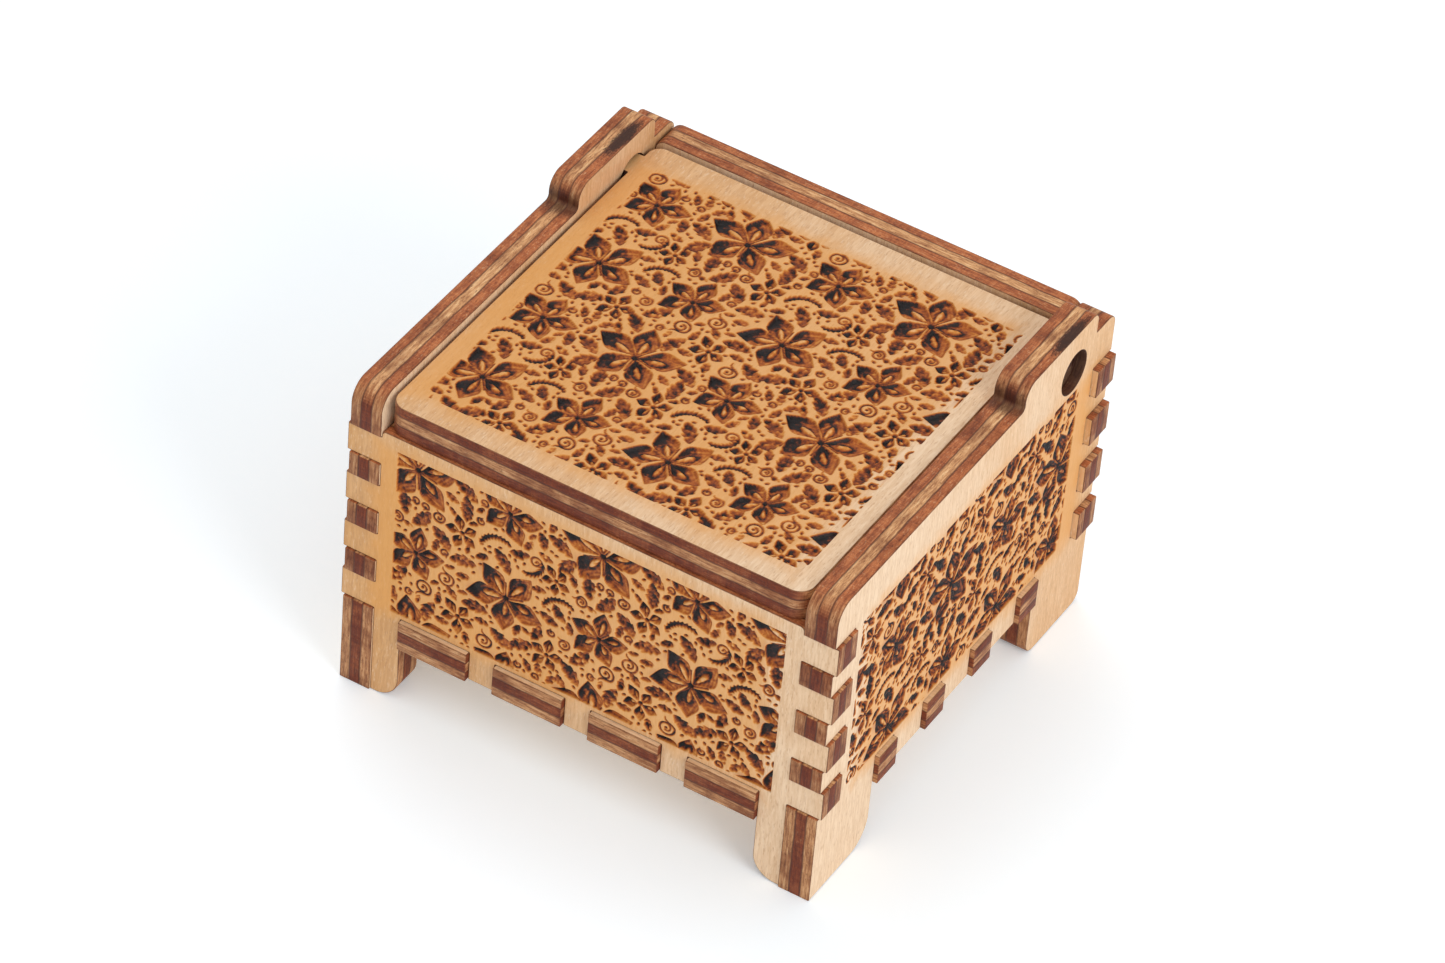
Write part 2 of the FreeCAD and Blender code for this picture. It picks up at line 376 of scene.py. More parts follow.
WORK = flower_ground()
DEPTH_TILE = softened(WORK.depth, 1.0)
CHAR_TILE = softened(WORK.char, 0.7)
HEAT_TILE = 0.5 * softened(WORK.char, 6) + 0.5 * softened(WORK.char, 16)
SOOT_TILE = np.clip(softened(ease(0.7, 0.95, WORK.char), 11) * (1 + 0.35 * WORK.patch), 0, 1)


# ---------------------------------------------------------------- the panels
class Panel:
    """A plywood panel: its CAD node, the directions in its sheet, and where its outer face is engraved."""

    def __init__(self, node, piece, body, slot, outward, right, grain, pale, golden,
                 margins=None, shift=None, step=None, burn=None):
        self.node, self.piece, self.body, self.slot = node, piece, body, slot
        self.outward, self.right, self.grain = Vector(outward), Vector(right), Vector(grain)
        self.up = self.outward.cross(self.right)
        self.crosswise = self.outward.cross(self.grain)
        self.margins = margins        # left, right, bottom, top: from the panel's edges to the field, mm
        self.shift = shift            # where this face starts in the repeating square, mm
        self.step = step
        self.burn = burn              # how heavily the beam has charred this face
        self.pale = pale              # how pale its veneer is, 0 golden to 1 pale
        self.golden = Vector(golden)  # towards where the face is drawn more golden and darker, a painted shade, and where the heat has spread, mm
        low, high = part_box(node)
        self.low, self.high = low, high
        corners = [Vector(corner) for corner in itertools.product(*zip(low, high))]
        self.face_level = max(c.dot(self.outward) for c in corners)
        rights = [c.dot(self.right) for c in corners]
        ups = [c.dot(self.up) for c in corners]
        if margins:
            self.field = (min(rights) + margins[0] * MM, max(rights) - margins[1] * MM,
                          min(ups) + margins[2] * MM, max(ups) - margins[3] * MM)


LEFTWARDS, RIGHTWARDS = (-1, 0, 0), (1, 0, 0)
FRONTWARDS, BACKWARDS = (0, -1, 0), (0, 1, 0)
UPWARDS = (0, 0, 1)
PANELS = [
    Panel("lid", "engraved_lid", body="lid", slot="engraved_plywood",
          outward=UPWARDS, right=RIGHTWARDS, grain=BACKWARDS,
          margins=(5.6, 5.6, 3.3, 3.97), shift=(14.4, 11.2), step=LID_STEP,
          burn=1.0, pale=0.60, golden=(-2.0, 0, 0)),
    Panel("front_panel", "front_wall", body="box", slot="engraved_plywood",
          outward=FRONTWARDS, right=RIGHTWARDS, grain=UPWARDS,
          margins=(6.5, 6.5, WALL_FOOT, 2.0), shift=(3.1, 8.0), step=WALL_STEP,
          burn=1.10, pale=0.54, golden=(-2.3, 0, 0)),
    Panel("back_panel", "back_wall", body="box", slot="engraved_plywood",
          outward=BACKWARDS, right=LEFTWARDS, grain=UPWARDS,
          margins=(6.9, 6.9, WALL_FOOT, 6.6), shift=(13.7, 2.4), step=WALL_STEP,
          burn=1.05, pale=0.62, golden=(1.6, 0, -0.5)),
    Panel("left_side_panel", "left_wall", body="box", slot="engraved_plywood",
          outward=LEFTWARDS, right=FRONTWARDS, grain=UPWARDS,
          margins=(7.25, 5.95, WALL_FOOT, 9.1), shift=(18.3, 5.5), step=WALL_STEP,
          burn=1.05, pale=0.62, golden=(0, 1.6, -0.5)),
    Panel("right_side_panel", "right_wall", body="box", slot="engraved_plywood",
          outward=RIGHTWARDS, right=BACKWARDS, grain=UPWARDS,
          margins=(5.95, 7.25, WALL_FOOT, 9.1), shift=(9.0, 15.8), step=WALL_STEP,
          burn=1.80, pale=0.84, golden=(0, 2.8, -0.4)),
    Panel("bottom_panel", "box_floor", body="box", slot="plain_plywood",
          outward=UPWARDS, right=RIGHTWARDS, grain=RIGHTWARDS,
          pale=0.60, golden=(0.5, 0.5, 0)),
]


# ---------------------------------------------------------------- shader tools
def tone(red, green, blue):
    """A colour given as it is seen, 0 to 255, as the shader's linear colour."""
    parts = [c / 255 for c in (red, green, blue)]
    return [c / 12.92 if c <= 0.04045 else ((c + 0.055) / 1.055) ** 2.4 for c in parts] + [1.0]


class Bench:
    """Places shader nodes in one tree and joins them up."""

    def __init__(self, tree):
        self.tree = tree

    def feed(self, socket, value):
        """Joins a socket to another one, or sets it to a plain value."""
        if isinstance(value, bpy.types.NodeSocket):
            self.tree.links.new(value, socket)
        else:
            socket.default_value = value

    def node(self, kind, inputs, **settings):
        made = self.tree.nodes.new("ShaderNode" + kind)
        for name, value in settings.items():
            setattr(made, name, value)
        for name, value in inputs.items():
            self.feed(made.inputs[name], value)
        return made

    def maths(self, operation, *values):
        return self.node("Math", dict(enumerate(values)), operation=operation).outputs[0]

    def plus(self, first, second):
        return self.maths("ADD", first, second)

    def minus(self, first, second):
        return self.maths("SUBTRACT", first, second)

    def times(self, first, second):
        return self.maths("MULTIPLY", first, second)

    def larger(self, first, second):
        return self.maths("MAXIMUM", first, second)

    def vector(self, operation, *values):
        return self.node("VectorMath", dict(enumerate(values)), operation=operation).outputs[0]

    def dot(self, first, second):
        return self.node("VectorMath", {0: first, 1: second}, operation="DOT_PRODUCT").outputs["Value"]

    def blend(self, share, first, second, kind="MIX"):
        made = self.node("Mix", {0: share, 6: first, 7: second}, data_type="RGBA", blend_type=kind)
        return made.outputs[2]

    def mask(self, value, low, high):
        """0 at low, 1 at high, smooth between; low may be the larger."""
        made = self.node("MapRange", {"Value": value, "From Min": low, "From Max": high},
                         interpolation_type="SMOOTHSTEP")
        return made.outputs["Result"]

    def noise(self, place, scale, detail=2.0, roughness=0.5):
        inputs = {"Vector": place, "Scale": scale, "Detail": detail, "Roughness": roughness}
        return self.node("TexNoise", inputs).outputs["Fac"]

    def ramp(self, value, stops):
        made = self.node("ValToRGB", {"Fac": value})
        elements = made.color_ramp.elements
        while len(elements) < len(stops):
            elements.new(0.5)
        for element, (place, colour) in zip(elements, stops):
            element.position = place
            element.color = colour
        return made.outputs["Color"]

    def attribute(self, name):
        return self.node("Attribute", {}, attribute_name=name).outputs["Fac"]

    def use(self, group, inputs):
        """Places a node group and returns what comes out of it."""
        made = self.node("Group", {}, node_tree=group)
        for name, value in inputs.items():
            self.feed(made.inputs[name], value)
        return made.outputs


def new_group(name, takes, gives):
    """A shader node group with named sockets: its bench, what comes in, and where its results go."""
    tree = bpy.data.node_groups.new(name, "ShaderNodeTree")
    for in_out, sockets in (("INPUT", takes), ("OUTPUT", gives)):
        for label, kind in sockets.items():
            tree.interface.new_socket(label, in_out=in_out, socket_type="NodeSocket" + kind)
    return Bench(tree), tree.nodes.new("NodeGroupInput").outputs, tree.nodes.new("NodeGroupOutput").inputs


def drawn_out_group():
    """Stretches a pattern along one direction, as grain is drawn out along the wood."""
    bench, given, result = new_group(
        "drawn_out", {"Place": "Vector", "Along": "Vector", "Times": "Float"}, {"Place": "Vector"})
    run = bench.dot(given["Place"], given["Along"])
    shrink = bench.minus(bench.maths("DIVIDE", 1.0, given["Times"]), 1.0)
    back = bench.node("VectorMath", {0: given["Along"], "Scale": bench.times(run, shrink)},
                      operation="SCALE").outputs[0]
    bench.feed(result["Place"], bench.vector("ADD", given["Place"], back))
    return bench.tree


def wood_grain_group(drawn_out):
    """Rotary-cut birch: slow patches, fine lines along the grain, and short dark and pale flecks."""
    bench, given, result = new_group(
        "wood_grain", {"Place": "Vector", "Along": "Vector"},
        {"Patch": "Float", "Lines": "Float", "Pores": "Float", "Flecks": "Float", "Height": "Float"})

    def along(times, scale, detail, roughness):
        drawn = bench.use(drawn_out, {"Place": given["Place"], "Along": given["Along"], "Times": times})
        return bench.noise(drawn["Place"], scale, detail, roughness)

    patch = along(3.0, 0.14, 2.0, 0.5)
    lines = along(9.0, 2.8, 3.0, 0.65)
    pores = bench.mask(along(6.0, 6.5, 1.0, 0.5), 0.58, 0.72)
    flecks = bench.mask(along(4.0, 5.5, 1.0, 0.5), 0.58, 0.74)
    bench.feed(result["Patch"], patch)
    bench.feed(result["Lines"], lines)
    bench.feed(result["Pores"], pores)
    bench.feed(result["Flecks"], flecks)
    height = bench.minus(bench.times(lines, 0.5), bench.times(pores, 0.6))
    bench.feed(result["Height"], height)
    return bench.tree


def birch_face_group(wood_grain):
    """The sanded face of the sheet: pale to golden birch."""
    bench, given, result = new_group(
        "birch_face", {"Place": "Vector", "Along": "Vector", "Golden": "Float"},
        {"Color": "Color", "Height": "Float"})
    grain = bench.use(wood_grain, {"Place": given["Place"], "Along": given["Along"]})
    # Golden holds the veneer's own tone together with the painted shade drift across the face.
    gold = bench.plus(given["Golden"], bench.times(bench.minus(grain["Patch"], 0.5), 0.9))
    base = bench.ramp(gold, [
        (0.0, tone(238, 208, 175)), (0.45, tone(228, 186, 142)), (1.0, tone(210, 154, 90))])
    duller = bench.blend(1.0, base, tone(240, 233, 225), "MULTIPLY")
    lined = bench.blend(bench.mask(grain["Lines"], 0.35, 0.68), duller, base)
    pored = bench.blend(bench.times(grain["Pores"], 0.34), lined, tone(176, 126, 84))
    flecked = bench.blend(bench.times(grain["Flecks"], 0.26), pored, tone(246, 224, 196))
    bench.feed(result["Color"], flecked)
    bench.feed(result["Height"], grain["Height"])
    return bench.tree


def scorch_group():
    """What the beam does to a face: warms the field, smokes it near heavy carving, and chars the cuts."""
    bench, given, result = new_group(
        "scorch", {"Place": "Vector", "Color": "Color", "Warmth": "Float", "Heat": "Float", "Soot": "Float",
                   "Char": "Float"},
        {"Color": "Color", "Roughness": "Float", "Height": "Float"})
    warm = bench.blend(bench.times(given["Warmth"], 0.72), given["Color"], tone(222, 156, 80))
    browned = bench.blend(1.0, warm, tone(240, 204, 160), "MULTIPLY")
    hot = bench.blend(bench.mask(given["Heat"], 0.10, 0.62), warm, browned)
    smoke = bench.times(bench.mask(given["Soot"], 0.05, 0.50), 0.55)
    smoked = bench.blend(smoke, hot, tone(178, 110, 76))
    speck = bench.noise(given["Place"], 5.5, 3.0, 0.6)
    rough_char = bench.times(given["Char"], bench.plus(0.70, bench.times(speck, 0.62)))
    # The char ramp; its blackest stop is tinted blue-violet, a painted sheen on the char.
    burnt = bench.ramp(rough_char, [
        (0.0, tone(222, 160, 88)), (0.16, tone(208, 134, 56)), (0.36, tone(174, 90, 25)),
        (0.56, tone(122, 52, 12)), (0.76, tone(46, 19, 9)), (1.0, tone(16, 12, 14))])
    bench.feed(result["Color"], bench.blend(bench.mask(rough_char, 0.01, 0.15), smoked, burnt))
    bench.feed(result["Roughness"], bench.minus(0.62, bench.times(given["Char"], 0.10)))
    bench.feed(result["Height"], bench.times(given["Char"], speck))
    return bench.tree


# Where a cut edge is drawn black: the beam's scorch on the ears, and painted shade in the hinge's hole. For
# each, the spot, how narrow it is along X, Y and Z (0 where it has no end), the radius that is black, the
# radius where the black ends, in mm, and how dark it is.
SCORCH_AND_SHADE_SPOTS = (
    ("Rear Spot", (1.8, 0.40, 1.0), 1.0, 2.0, 0.92),
    ("Root Spot", (0.35, 1.0, 1.0), 0.8, 2.4, 0.62),
    ("Hinge Hole Shade", (0.0, 1.0, 1.0), 3.0, 3.8, 0.80),
)


def cut_ply_group(drawn_out):
    """The laser-cut edge: three plies with burnt glue lines, dark where the grain ends in the cut."""
    bench, given, result = new_group(
        "cut_ply", {"Place": "Vector", "Along": "Vector", "Crosswise": "Vector", "Outward": "Vector",
                    "Through": "Float", "End Grain": "Float", "Burn And Top Light": "Float", "Rear Spot": "Vector",
                    "Root Spot": "Vector", "Hinge Hole Shade": "Vector"},
        {"Color": "Color", "Roughness": "Float", "Height": "Float"})

    def drawn(place, direction, times):
        return bench.use(drawn_out, {"Place": place, "Along": given[direction], "Times": times})["Place"]

    flat = drawn(drawn(given["Place"], "Along", 9.0), "Crosswise", 9.0)
    layers = bench.noise(flat, 3.6, 4.0, 0.70)
    fine = bench.noise(drawn(drawn(given["Place"], "Along", 3.0), "Crosswise", 3.0), 6.5, 2.0, 0.6)
    kerf = bench.noise(drawn(given["Place"], "Outward", 16.0), 4.5, 2.0, 0.6)
    blotch = bench.noise(drawn(given["Place"], "Outward", 1.6), 0.22, 3.0, 0.6)
    wander = bench.times(bench.minus(bench.noise(given["Place"], 0.25), 0.5), 0.07)
    depth = bench.plus(given["Through"], wander)

    def glue_line(level):
        return bench.mask(bench.maths("ABSOLUTE", bench.minus(depth, level)), 0.040, 0.008)

    glue = bench.larger(glue_line(0.318), glue_line(0.658))
    core = bench.times(bench.mask(depth, 0.305, 0.330), bench.mask(depth, 0.670, 0.645))
    shell = bench.minus(1.0, core)
    core_end = bench.times(core, bench.minus(1.0, given["End Grain"]))
    end = bench.plus(core_end, bench.times(shell, given["End Grain"]))
    long_grain = bench.ramp(layers, [
        (0.30, tone(146, 92, 58)), (0.44, tone(182, 126, 82)),
        (0.56, tone(220, 164, 112)), (0.68, tone(242, 200, 150))])
    end_grain = bench.ramp(bench.plus(bench.times(layers, 0.75), bench.times(kerf, 0.25)), [
        (0.34, tone(124, 60, 32)), (0.50, tone(174, 98, 56)), (0.64, tone(204, 126, 76))])
    wood = bench.blend(end, long_grain, end_grain)
    speckled = bench.blend(bench.times(bench.mask(fine, 0.58, 0.72), 0.45), wood, tone(224, 180, 136))
    pitted = bench.blend(bench.times(bench.mask(fine, 0.42, 0.30), 0.55), speckled, tone(96, 50, 28))
    blotches = bench.times(bench.mask(blotch, 0.44, 0.70), 0.50)
    # The burn share, with painted light: up-facing edges drawn paler.
    burn_share_with_top_light = bench.times(given["Burn And Top Light"], bench.maths("MULTIPLY_ADD", end, 0.50, 0.50))
    darkest = bench.blend(1.0, pitted, tone(160, 124, 106), "MULTIPLY")
    scorched = bench.blend(bench.plus(blotches, burn_share_with_top_light), pitted, darkest)
    ragged = bench.times(bench.minus(fine, 0.5), 1.5)
    # Darkens the edge near each spot: scorch on the ears, and painted shade in the hinge's hole.
    for spot, squeeze, inner, outer, share in SCORCH_AND_SHADE_SPOTS:
        off = bench.vector("MULTIPLY", bench.vector("SUBTRACT", given["Place"], given[spot]), squeeze)
        away = bench.node("VectorMath", {0: off}, operation="LENGTH").outputs["Value"]
        near = bench.mask(bench.plus(away, ragged), outer, inner)
        scorched = bench.blend(bench.times(near, share), scorched, tone(44, 26, 20))
    glued = bench.blend(bench.times(glue, 0.70), scorched, tone(76, 40, 28))
    # A darker rim along both arrises of the cut: partly the beam's burn, partly painted shade where the edge
    # meets the next panel.
    rim = bench.larger(bench.mask(given["Through"], 0.045, 0.0), bench.mask(given["Through"], 0.955, 1.0))
    bench.feed(result["Color"], bench.blend(bench.times(rim, 0.60), glued, tone(84, 50, 34)))
    bench.feed(result["Roughness"], bench.plus(0.50, bench.times(kerf, 0.25)))
    height = bench.plus(bench.times(kerf, 0.4), bench.times(layers, 0.8))
    bench.feed(result["Height"], bench.minus(height, bench.times(glue, 0.5)))
    return bench.tree


def field_warmth_group():
    """1 on the engraved field and falling away outside it."""
    bench, given, result = new_group(
        "field_warmth", {"Place": "Vector", "Centre": "Vector", "Half": "Vector"}, {"Warmth": "Float"})
    off = bench.vector("ABSOLUTE", bench.vector("SUBTRACT", given["Place"], given["Centre"]))
    parts = bench.node("SeparateXYZ", {0: bench.vector("SUBTRACT", off, given["Half"])}).outputs
    outside = bench.larger(parts["X"], bench.larger(parts["Y"], parts["Z"]))
    ragged = bench.times(bench.minus(bench.noise(given["Place"], 0.5), 0.5), 3.0)
    bench.feed(result["Warmth"], bench.mask(bench.plus(outside, ragged), 2.4, -1.2))
    return bench.tree


DRAWN_OUT = drawn_out_group()
WOOD_GRAIN = wood_grain_group(DRAWN_OUT)
BIRCH_FACE = birch_face_group(WOOD_GRAIN)
SCORCH = scorch_group()
CUT_PLY = cut_ply_group(DRAWN_OUT)
FIELD_WARMTH = field_warmth_group()


def new_material(name):
    """A new material, the bench for its nodes, its shader, and the place on the piece in mm."""
    material = bpy.data.materials.new(name)
    material.use_nodes = True
    bench = Bench(material.node_tree)
    shader = material.node_tree.nodes["Principled BSDF"]
    coordinates = bench.node("TexCoord", {}).outputs["Object"]
    place = bench.node("VectorMath", {0: coordinates, "Scale": 1 / MM}, operation="SCALE").outputs[0]
    return material, bench, shader, place


def add_bump(bench, shader, height, distance, strength):
    """Fine relief on the surface, at most distance metres deep."""
    bump = bench.node("Bump", {"Height": height, "Distance": distance, "Strength": strength})
    bench.feed(shader.inputs["Normal"], bump.outputs["Normal"])


def face_material(panel):
    """The veneer of a panel's two faces, with its engraving if it has one."""
    material, bench, shader, place = new_material(panel.piece + "_birch")
    centre = (panel.low + panel.high) / 2 / MM
    reach = max(panel.high - panel.low) / 2 / MM
    # The veneer's own paleness, plus a painted shade that turns the face more golden and darker towards
    # panel.golden.
    towards = bench.dot(bench.vector("SUBTRACT", place, list(centre)), list(panel.golden / reach))
    golden = bench.plus(1 - panel.pale, bench.times(towards, GOLD_SHADE_DRIFT))
    face = bench.use(BIRCH_FACE, {"Place": place, "Along": list(panel.grain), "Golden": golden})
    if panel.margins:
        left, right, low, high = (side / MM for side in panel.field)
        middle = panel.right * (left + right) / 2 + panel.up * (low + high) / 2
        middle += panel.outward * panel.face_level / MM + panel.golden
        half = Vector([abs(c) for c in panel.right]) * (right - left) / 2
        half += Vector([abs(c) for c in panel.up]) * (high - low) / 2
        half += Vector([abs(c) for c in panel.outward]) * PLY / 2
        warmed = bench.use(FIELD_WARMTH, {"Place": place, "Centre": list(middle), "Half": list(half)})
        scorched = bench.use(SCORCH, {
            "Place": place, "Color": face["Color"], "Warmth": warmed["Warmth"],
            "Heat": bench.attribute("heat"), "Soot": bench.attribute("soot"),
            "Char": bench.attribute("char")})
        bench.feed(shader.inputs["Base Color"], scorched["Color"])
        bench.feed(shader.inputs["Roughness"], scorched["Roughness"])
        height = bench.plus(face["Height"], bench.times(scorched["Height"], 2.0))
    else:
        bench.feed(shader.inputs["Base Color"], face["Color"])
        shader.inputs["Roughness"].default_value = 0.62
        height = face["Height"]
    add_bump(bench, shader, height, 0.06 * MM, 0.5)
    shader.inputs["Specular IOR Level"].default_value = 0.35
    return material


def scorch_and_shade_spots(panel):
    """Where the beam lingered on the ears, and the hinge's hole with its painted shade, in mm; far away on
    other panels.
    """
    nowhere = (0, 0, 900)
    hinge_y, hinge_z = (c / MM for c in frame["joints"][0]["pos_m"][1:])
    # The hinge's hole, drawn dark with painted shade on the lid and the side walls.
    hinge = (0, hinge_y, hinge_z) if panel.body == "lid" or panel.outward.x else nowhere
    if panel.outward.x == 0:
        return {"Rear Spot": nowhere, "Root Spot": nowhere, "Hinge Hole Shade": hinge}
    side = panel.outward.x
    ear_top = panel.high.z / MM
    rear = (side * EAR_SCORCH[panel.piece], hinge_y - 1.0, ear_top)
    root = (side * EAR_ROOT, hinge_y - EAR_REACH, ear_top - EAR_RISE)
    return {"Rear Spot": rear, "Root Spot": root, "Hinge Hole Shade": hinge}


def edge_material(panel):
    """The laser-cut edge of a panel."""
    material, bench, shader, place = new_material(panel.piece + "_cut_edge")
    # The burnt attribute carries the beam's burn and painted light that leaves up-facing edges paler.
    cut = bench.use(CUT_PLY, {
        "Place": place, "Along": list(panel.grain), "Crosswise": list(panel.crosswise),
        "Outward": list(panel.outward), "Through": bench.attribute("through"),
        "End Grain": bench.attribute("end_grain"), "Burn And Top Light": bench.attribute("burnt"),
        **scorch_and_shade_spots(panel)})
    bench.feed(shader.inputs["Base Color"], cut["Color"])
    bench.feed(shader.inputs["Roughness"], cut["Roughness"])
    add_bump(bench, shader, cut["Height"], 0.12 * MM, 0.6)
    shader.inputs["Specular IOR Level"].default_value = 0.30
    return material


# ---------------------------------------------------------------- modelling tools
def only(piece):
    """Leaves one object selected and active."""
    bpy.ops.object.select_all(action="DESELECT")
    piece.select_set(True)
    bpy.context.view_layer.objects.active = piece


def pick_faces(piece, wanted):
    """In edit mode, selects the faces that wanted(face) names, and no other."""
    bpy.ops.mesh.select_mode(type="FACE")
    bpy.ops.mesh.select_all(action="DESELECT")
    mesh = bmesh.from_edit_mesh(piece.data)
    for face in mesh.faces:
        if wanted(face):
            face.select_set(True)
    bmesh.update_edit_mesh(piece.data)


def sheet_copy(panel):
    """A welded copy of the CAD panel, its flat faces whole and its cut edges slightly eased."""
    mesh = frame["nodes"][panel.node].data.copy()
    mesh.name = panel.piece
    mesh.materials.clear()
    piece = bpy.data.objects.new(panel.piece, mesh)
    bpy.context.scene.collection.objects.link(piece)
    only(piece)
    bpy.ops.object.mode_set(mode="EDIT")
    bpy.ops.mesh.select_all(action="SELECT")
    bpy.ops.mesh.remove_doubles(threshold=SAME_PLACE * MM)
    bpy.ops.mesh.dissolve_limited(angle_limit=math.radians(0.3), delimit=set())
    bpy.ops.object.mode_set(mode="OBJECT")
    bpy.ops.mesh.customdata_custom_splitnormals_clear()
    bpy.ops.object.modifier_add(type="BEVEL")
    bevel = piece.modifiers[-1]
    bevel.width = ARRIS * MM
    bevel.segments = 2
    bevel.limit_method = "ANGLE"
    bevel.angle_limit = EASED_ANGLE
    bevel.miter_outer = "MITER_ARC"
    bpy.ops.object.modifier_apply(modifier=bevel.name)
    bpy.ops.object.shade_smooth_by_angle(angle=SMOOTH_ANGLE)
    return piece


def add_values(mesh, name, domain, values):
    """Gives every point or face of a mesh a value that its material can read."""
    mesh.attributes.new(name, "FLOAT", domain).data.foreach_set("value", values.astype(np.float32))


def engraved_field(panel, material):
    """The carved part of a face: a fine grid at face level, sunk and charred as the ornament says."""
    left, right, low, high = panel.field
    turned = Matrix((panel.right, panel.up, panel.outward)).transposed()
    middle = panel.right * (left + right) / 2 + panel.up * (low + high) / 2
    centre = middle + panel.outward * panel.face_level
    columns = round((right - left) / (panel.step * MM))
    rows = round((high - low) / (panel.step * MM))
    bpy.ops.object.select_all(action="DESELECT")
    bpy.ops.mesh.primitive_grid_add(x_subdivisions=columns, y_subdivisions=rows, size=1, calc_uvs=False,
                                    location=centre, rotation=turned.to_euler())
    grid = bpy.context.object
    grid.scale = (right - left, high - low, 1)
    bpy.ops.object.transform_apply(location=True, rotation=True, scale=True)
    bpy.ops.object.shade_smooth()
    mesh = grid.data
    points = np.empty(len(mesh.vertices) * 3)
    mesh.vertices.foreach_get("co", points)
    points = points.reshape(-1, 3)
    u, v = points @ np.array(panel.right), points @ np.array(panel.up)
    inner = (u > left + 1e-6) & (u < right - 1e-6) & (v > low + 1e-6) & (v < high - 1e-6)
    tile_u = (u - left) / MM + panel.shift[0]
    tile_v = (v - low) / MM + panel.shift[1]
    chance = np.random.default_rng(len(panel.piece))    # seeded, so that each run is the same
    depth = sampled(DEPTH_TILE, tile_u, tile_v)
    grit = FLOOR_GRIT * chance.normal(size=len(u)) * np.minimum(depth * 2, 1)
    depth = np.clip(depth * ENGRAVING_DEPTH + grit, 0, ENGRAVING_DEPTH * DEEPEST)
    sunk = np.where(inner, depth, 0) * MM
    points -= sunk[:, None] * np.array(panel.outward)
    mesh.vertices.foreach_set("co", points.ravel())
    for name, tile in (("char", CHAR_TILE), ("heat", HEAT_TILE), ("soot", SOOT_TILE)):
        values = np.clip(sampled(tile, tile_u, tile_v) * panel.burn, 0, 1)
        add_values(mesh, name, "POINT", np.where(inner, values, 0))
    add_values(mesh, "field", "POINT", np.ones(len(u)))
    mesh.materials.append(material)
    mesh.update()
    return grid


def on_outer_face(panel):
    """A test for the faces that lie in the panel's outer face."""
    def test(face):
        level = face.calc_center_median().dot(panel.outward)
        return face.normal.dot(panel.outward) > 0.999 and abs(level - panel.face_level) < SAME_LEVEL * MM
    return test


def set_in(piece, panel, grid):
    """Cuts the outer face away, sets the carved field in its place and closes the face around it."""
    only(piece)
    bpy.ops.object.mode_set(mode="EDIT")
    pick_faces(piece, on_outer_face(panel))
    bpy.ops.mesh.delete(type="FACE")
    bpy.ops.object.mode_set(mode="OBJECT")
    bpy.ops.object.select_all(action="DESELECT")
    grid.select_set(True)
    piece.select_set(True)
    bpy.context.view_layer.objects.active = piece
    bpy.ops.object.join()
    bpy.ops.object.mode_set(mode="EDIT")
    bpy.ops.mesh.select_mode(type="EDGE")
    bpy.ops.mesh.select_all(action="DESELECT")
    bpy.ops.mesh.select_non_manifold(extend=False, use_wire=False, use_boundary=True, use_multi_face=False,
                                     use_non_contiguous=False, use_verts=False)
    bpy.ops.mesh.fill(use_beauty=False)
    bpy.ops.mesh.select_all(action="SELECT")
    bpy.ops.mesh.normals_make_consistent(inside=False)
    bpy.ops.object.mode_set(mode="OBJECT")


def mark_plies(piece, panel):
    """Marks each point's place through the sheet, and how each face cuts the grain and is burnt, with
    painted light that leaves up-facing cut edges paler.
    """
    mesh = piece.data
    points = np.empty(len(mesh.vertices) * 3)
    mesh.vertices.foreach_get("co", points)
    through = (panel.face_level - points.reshape(-1, 3) @ np.array(panel.outward)) / (PLY * MM)
    add_values(mesh, "through", "POINT", through)
    normals = np.empty(len(mesh.polygons) * 3)
    mesh.polygons.foreach_get("normal", normals)
    end_grain = (normals.reshape(-1, 3) @ np.array(panel.grain)) ** 2
    add_values(mesh, "end_grain", "FACE", end_grain)
    centres = np.empty(len(mesh.polygons) * 3)
    mesh.polygons.foreach_get("center", centres)
    fingers = ease(WALL_FOOT - 1, WALL_FOOT, centres[2::3] / MM) * (panel.body == "box")
    # The beam's burn of the cut edges, fading to none where an edge faces up: painted light, up-facing edges
    # drawn paler as if lit from above.
    burnt = (EDGE_BURN + FINGER_BURN * fingers) * (1 - np.clip(normals[2::3], 0, 1))
    add_values(mesh, "burnt", "FACE", burnt)


def build_panel(panel):
    """One panel, from its CAD shape to its finish."""
    piece = sheet_copy(panel)
    face, edge = face_material(panel), edge_material(panel)
    piece.data.materials.append(face)
    piece.data.materials.append(edge)
    if panel.margins:
        set_in(piece, panel, engraved_field(panel, face))
    only(piece)
    bpy.ops.object.mode_set(mode="EDIT")
    field = bmesh.from_edit_mesh(piece.data).verts.layers.float.get("field")

    def cut_edge(found):
        carved = field and all(corner[field] > 0.5 for corner in found.verts)
        return not carved and abs(found.normal.dot(panel.outward)) < 0.97

    pick_faces(piece, cut_edge)
    piece.active_material_index = 1
    bpy.ops.object.material_slot_assign()
    bpy.ops.object.mode_set(mode="OBJECT")
    mark_plies(piece, panel)
    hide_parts(panel.node)
    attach(piece, panel.body)
    return piece


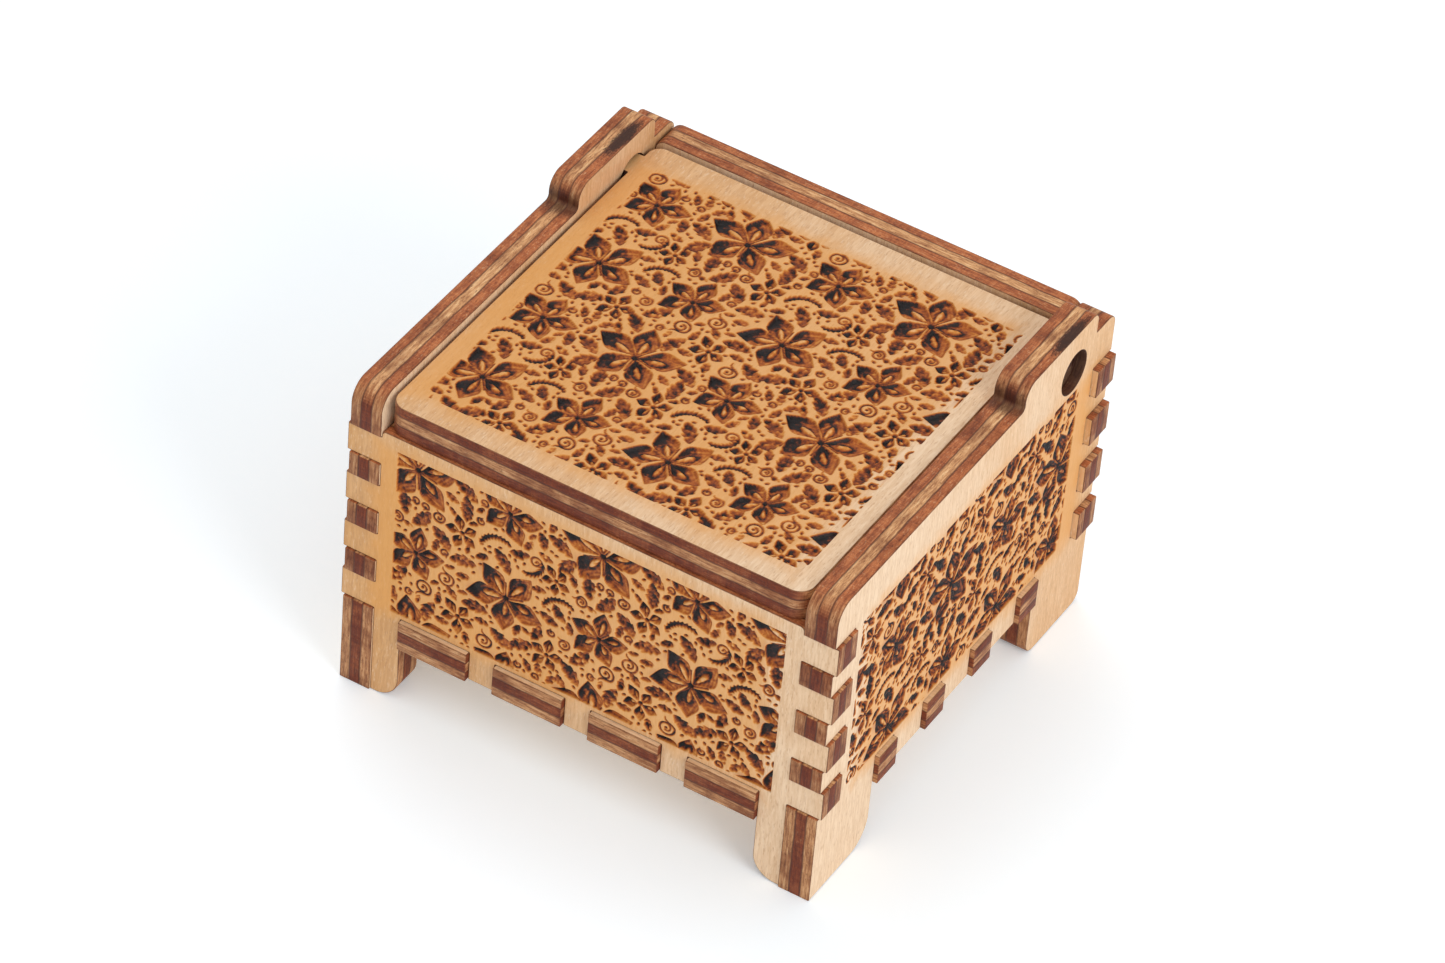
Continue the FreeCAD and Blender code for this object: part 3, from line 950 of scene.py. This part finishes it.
# ---------------------------------------------------------------- the studio
def set_up_studio():
    """A white floor, an even white surround, and two large soft lamps."""
    bpy.ops.object.select_all(action="DESELECT")
    bpy.ops.mesh.primitive_plane_add(size=6, location=(0, 0, -FLOOR_DROP * MM))
    floor = bpy.context.object
    floor.name = "studio_floor"
    material = bpy.data.materials.new("white_paper")
    material.use_nodes = True
    paper = material.node_tree.nodes["Principled BSDF"]
    paper.inputs["Base Color"].default_value = (0.94, 0.97, 1.0, 1)
    paper.inputs["Emission Color"].default_value = (0.80, 0.95, 1.0, 1)
    paper.inputs["Emission Strength"].default_value = 0.19
    paper.inputs["Roughness"].default_value = 0.9
    paper.inputs["Specular IOR Level"].default_value = 0.1
    floor.data.materials.append(material)
    world = bpy.data.worlds.new("studio_surround")
    bpy.context.scene.world = world
    world.use_nodes = True
    world.node_tree.nodes["Background"].inputs["Color"].default_value = (1, 1, 1, 1)
    world.node_tree.nodes["Background"].inputs["Strength"].default_value = 0.70
    add_lamp("side_lamp", (0.95, -0.35, 0.65), 0.55, 5.0)
    add_lamp("top_lamp", (-0.40, 0.30, 1.00), 0.60, 2.1)
    bpy.context.scene.view_settings.view_transform = "Standard"


def add_lamp(name, place, size, power):
    """A square soft lamp of a size in metres and a power in watts, turned towards the box."""
    bpy.ops.object.light_add(type="AREA", location=place)
    lamp = bpy.context.object
    lamp.name = name
    lamp.data.shape = "SQUARE"
    lamp.data.size = size
    lamp.data.energy = power
    lamp.rotation_euler = (-Vector(place)).to_track_quat("-Z", "Y").to_euler()


def place_camera():
    """A long lens from the front right, looking down on the box."""
    level = math.cos(CAMERA_ELEVATION)
    back = Vector((math.sin(CAMERA_AZIMUTH) * level, -math.cos(CAMERA_AZIMUTH) * level,
                   math.sin(CAMERA_ELEVATION)))
    aim = (CAD_BOX[0] + CAD_BOX[1]) / 2 + Vector(CAMERA_AIM) * MM
    bpy.ops.object.camera_add(location=aim + back * CAMERA_DISTANCE)
    camera = bpy.context.object
    camera.data.lens = CAMERA_LENS
    camera.data.sensor_width = 36
    camera.rotation_mode = "QUATERNION"
    camera.rotation_quaternion = (-back).to_track_quat("-Z", "Y") @ Quaternion((0, 0, 1), CAMERA_ROLL)
    bpy.context.scene.camera = camera


for panel in PANELS:
    build_panel(panel)
set_up_studio()
place_camera()
